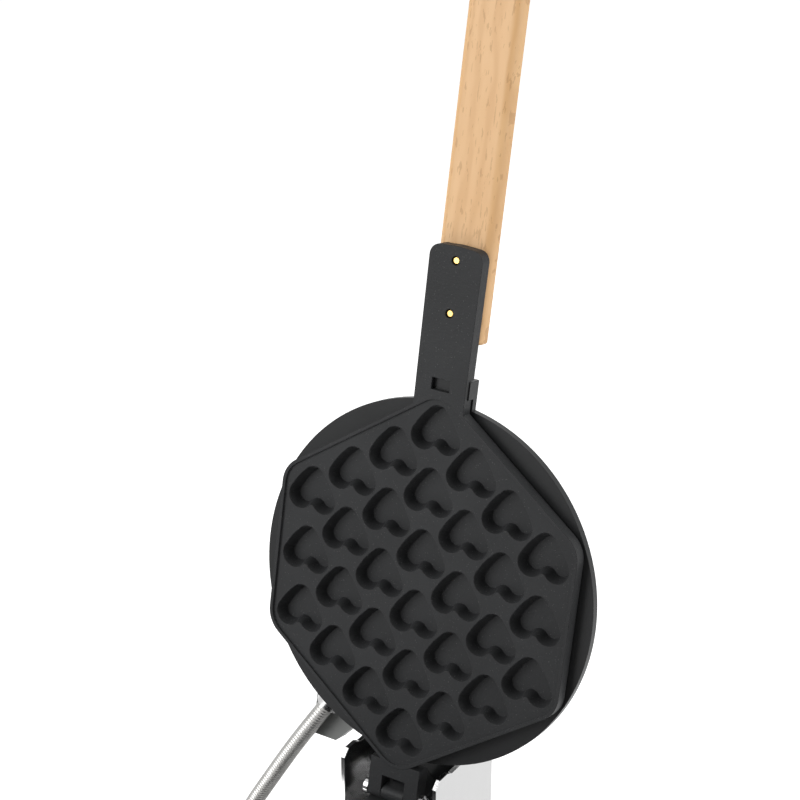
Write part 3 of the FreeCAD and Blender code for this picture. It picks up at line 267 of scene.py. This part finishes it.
def oiledWood():
    # straight-grained pale hardwood: growth bands across, pores drawn out along the bar
    wood = Finish("oiled_wood")
    tilted = wood.place(turned=(0.22, 0, 0.1), stretched=(1, 0.09, 0.16))
    drift = wood.noise(0.012, 3, wood.place(turned=(0.22, 0, 0.1), stretched=(0.7, 0.12, 0.2)))
    band = wood.node("TexWave", {"wave_type": "BANDS", "bands_direction": "X"},
                     {"Vector": wood.place(turned=(0.22, 0, 0.1), stretched=(1, 0.12, 0.2)), "Scale": 40.0,
                      "Distortion": 9.0, "Detail": 3.0, "Detail Scale": 1.4, "Detail Roughness": 0.6}, out=1)
    pore = wood.noise(0.0012, 4, tilted)
    pale = wood.blend(drift, (0.80, 0.52, 0.27, 1), (0.70, 0.41, 0.185, 1))
    banded = wood.blend(band ** 2 * 0.4, pale, (0.60, 0.325, 0.13, 1))
    poreMask = (pore > 0.62) * 0.35
    wood.set(Base_Color=wood.blend(poreMask, banded, (0.36, 0.17, 0.06, 1)),
             Roughness=wood.between(pore, 0.42, 0.6))
    wood.bump(pore, 0.00006, edge=0.0006)
    return wood.material


def steel(name, level, rough, brushed=None, fine=0.0004):
    # bare steel: a thin brushed lay where brushed gives the stretch of its lines, with handling marks
    metal = Finish(name, Metallic=1.0)
    place = metal.place(stretched=brushed or (1, 1, 1))
    lay = metal.noise(fine, 4, place)
    smear = metal.noise(0.04, 3)
    metal.set(Base_Color=metal.blend(lay, grey(level * 0.9), grey(level)),
              Roughness=metal.between(lay * 0.5 + smear * 0.5, rough * 0.75, rough * 1.3))
    metal.bump(lay, 0.000012 if brushed else 0.000006, edge=0.0003)
    return metal.material


def woundSteel():
    # galvanised strip: bright crowns, dull in the locks, a little zinc spangle
    metal = Finish("wound_steel", Metallic=1.0)
    spangle = metal.cells(0.003)
    dull = metal.noise(0.006, 3)
    metal.set(Base_Color=metal.blend(dull, (0.33, 0.325, 0.31, 1), (0.46, 0.455, 0.445, 1)),
              Roughness=metal.between(spangle, 0.26, 0.42))
    metal.bump(dull, 0.00002)
    return metal.material


def brass():
    metal = Finish("brass", Metallic=1.0)
    tarnish = metal.noise(0.0011, 3)
    metal.set(Base_Color=metal.blend(tarnish, (0.86, 0.60, 0.21, 1), (0.72, 0.46, 0.14, 1)),
              Roughness=metal.between(tarnish, 0.2, 0.38))
    metal.bump(metal.noise(0.0005, 2), 0.00001, edge=0.0002)
    return metal.material


def plainCoat(name, low, high, rough, size, depth, edge=0.0003, fleck=None):
    # paint, plastic or rubber: a slow change of tone and a fine moulded or sprayed grain
    coat = Finish(name, Specular_IOR_Level=0.3)
    grain = coat.noise(size, 3)
    tone = coat.blend(coat.noise(0.02, 2), low, high)
    if fleck:
        tone = coat.blend((coat.cells(size * 2.5) < 0.22) * 0.6, tone, fleck)
    coat.set(Base_Color=tone, Roughness=coat.between(grain, rough * 0.85, rough * 1.2))
    coat.bump(grain, depth, edge=edge)
    return coat.material


def sheath():
    # heater tube: steel blued by heat, darkest in slow patches
    metal = Finish("heater_sheath", Metallic=0.9)
    heat = metal.noise(0.018, 3)
    metal.set(Base_Color=metal.blend(heat, (0.12, 0.115, 0.13, 1), (0.34, 0.29, 0.24, 1)),
              Roughness=metal.between(metal.noise(0.002, 2), 0.4, 0.6))
    metal.bump(metal.noise(0.0008, 2), 0.00002)
    return metal.material


def fibreBoard():
    # pressed mineral fibre: tangled pale strands
    board = Finish("fibre_board")
    strand = board.noise(0.0022, 5, board.place(stretched=(1, 0.35, 1)))
    board.set(Base_Color=board.blend(strand, (0.62, 0.57, 0.48, 1), (0.82, 0.79, 0.71, 1)),
              Roughness=board.between(strand, 0.85, 0.98))
    board.bump(strand, 0.0004)
    return board.material


def lampLens():
    # amber lens over a lit neon: the middle glows a little
    lens = Finish("lamp_lens", Roughness=0.12, Coat_Weight=0.6)
    prism = lens.cells(0.0016)
    lens.set(Base_Color=lens.blend(prism, (0.85, 0.23, 0.02, 1), (0.55, 0.11, 0.01, 1)),
             Emission_Color=lens.blend(prism, (0.9, 0.22, 0.02, 1), (0.3, 0.05, 0.0, 1)))
    lens.shader.inputs["Emission Strength"].default_value = 0.25
    lens.bump(prism, 0.00015)
    return lens.material


finishes = {
    "black_casting": coatedCasting(),
    "black_enamel": blackEnamel(),
    "handle_wood": oiledWood(),
    "polished_steel": steel("polished_steel", 0.50, 0.16, brushed=(1, 1, 0.02)),
    "plated_steel": steel("plated_steel", 0.62, 0.18),
    "conduit_steel": woundSteel(),
    "brass_screws": brass(),
    "grey_cover": plainCoat("grey_enamel", (0.155, 0.16, 0.155, 1), (0.19, 0.195, 0.19, 1), 0.42, 0.0007,
                            0.00003),
    "heater_sheath": sheath(),
    "insulation_fibre": fibreBoard(),
    "foot_rubber": plainCoat("foot_rubber", grey(0.012), grey(0.022), 0.75, 0.0012, 0.00008),
    "black_plastic": plainCoat("black_plastic", grey(0.014), grey(0.021), 0.5, 0.0006, 0.00004),
    "red_plastic": plainCoat("red_plastic", (0.42, 0.012, 0.01, 1), (0.5, 0.018, 0.014, 1), 0.28, 0.002,
                             0.00002),
    "lamp_lens": lampLens(),
}
enamelled = {"upper_housing", "lower_housing", "front_bearing", "rear_bearing"}


# Floor, world and lamps
light = {
    "world": 0.17,
    "lamps": {
        # name: place, what it points at, width, power in watts
        "front_left": ((-1.05, -1.35, 1.1), (0, 0.19, 0.42), 1.3, 31),
        "right": ((1.5, 0.5, 0.95), (0, 0.2, 0.4), 0.9, 15),
        "above": ((0.1, 0.6, 2.0), (0, 0.17, 0.3), 1.0, 12),
    },
}
floor = surface("floor", np.stack(np.meshgrid([-8.0, 8.0], [-8.0, 14.0], [0.0]), axis=-1).reshape(2, 2, 3))
pale = Finish("pale_floor", Roughness=0.9)
pale.set(Base_Color=pale.blend(pale.noise(0.8, 2), grey(0.80), grey(0.83)))
# straight to the camera, in polished metal and through clear plastic the floor shows as white
straight, glossy, through = [pale.node("LightPath", out=out) for out in
                           ("Is Camera Ray", "Is Glossy Ray", "Is Transmission Ray")]
seen = pale.node("Math", {"operation": "MAXIMUM"}, {0: straight, 1: glossy})
seen = pale.node("Math", {"operation": "MAXIMUM"}, {0: seen, 1: through})
shown = pale.node("Emission", {}, {0: grey(1.0), 1: 0.75})
both = pale.node("AddShader", {}, {0: Value(pale, pale.shader.outputs[0]), 1: shown})
pick = pale.node("MixShader", {}, {0: seen, 1: Value(pale, pale.shader.outputs[0]), 2: both})
pale.feed(pale.tree.nodes["Material Output"].inputs["Surface"], pick)
floor.data.materials.append(pale.material)

world = bpy.data.worlds.new("studio")
scene.world = world
world.use_nodes = True
tree = world.node_tree
rays = tree.nodes.new("ShaderNodeLightPath")
direct = rays.outputs["Is Camera Ray"]
for kind in ("Is Glossy Ray", "Is Transmission Ray"):
    either = tree.nodes.new("ShaderNodeMath")
    either.operation = "MAXIMUM"
    tree.links.new(direct, either.inputs[0])
    tree.links.new(rays.outputs[kind], either.inputs[1])
    direct = either.outputs[0]
strength = tree.nodes.new("ShaderNodeMapRange")
strength.inputs["To Min"].default_value = light["world"]
strength.inputs["To Max"].default_value = 1.0
tree.links.new(direct, strength.inputs["Value"])
tree.links.new(strength.outputs[0], tree.nodes["Background"].inputs["Strength"])
tree.nodes["Background"].inputs["Color"].default_value = grey(1.0)

for name, (place, target, width, power) in light["lamps"].items():
    lamp = bpy.data.objects.new(name, bpy.data.lights.new(name, "AREA"))
    lamp.data.energy = power
    lamp.data.size = width
    lamp.location = place
    aim = np.array(target) - np.array(place)
    flat = math.hypot(aim[0], aim[1])
    lamp.rotation_euler = (math.atan2(flat, -aim[2]), 0, math.atan2(aim[1], aim[0]) - math.pi / 2)
    scene.collection.objects.link(lamp)
print("floor and lamps set")


# Finishes on the CAD nodes, by the record's slot of each node
for name, node in nodes.items():
    slotName = node.data.materials[0].name.split(".")[0] if node.data.materials else "black_plastic"
    key = "black_enamel" if name in enamelled else slotName
    node.data.materials.clear()
    node.data.materials.append(finishes[key])
hose.data.materials.append(finishes["conduit_steel"])
print("finishes on")
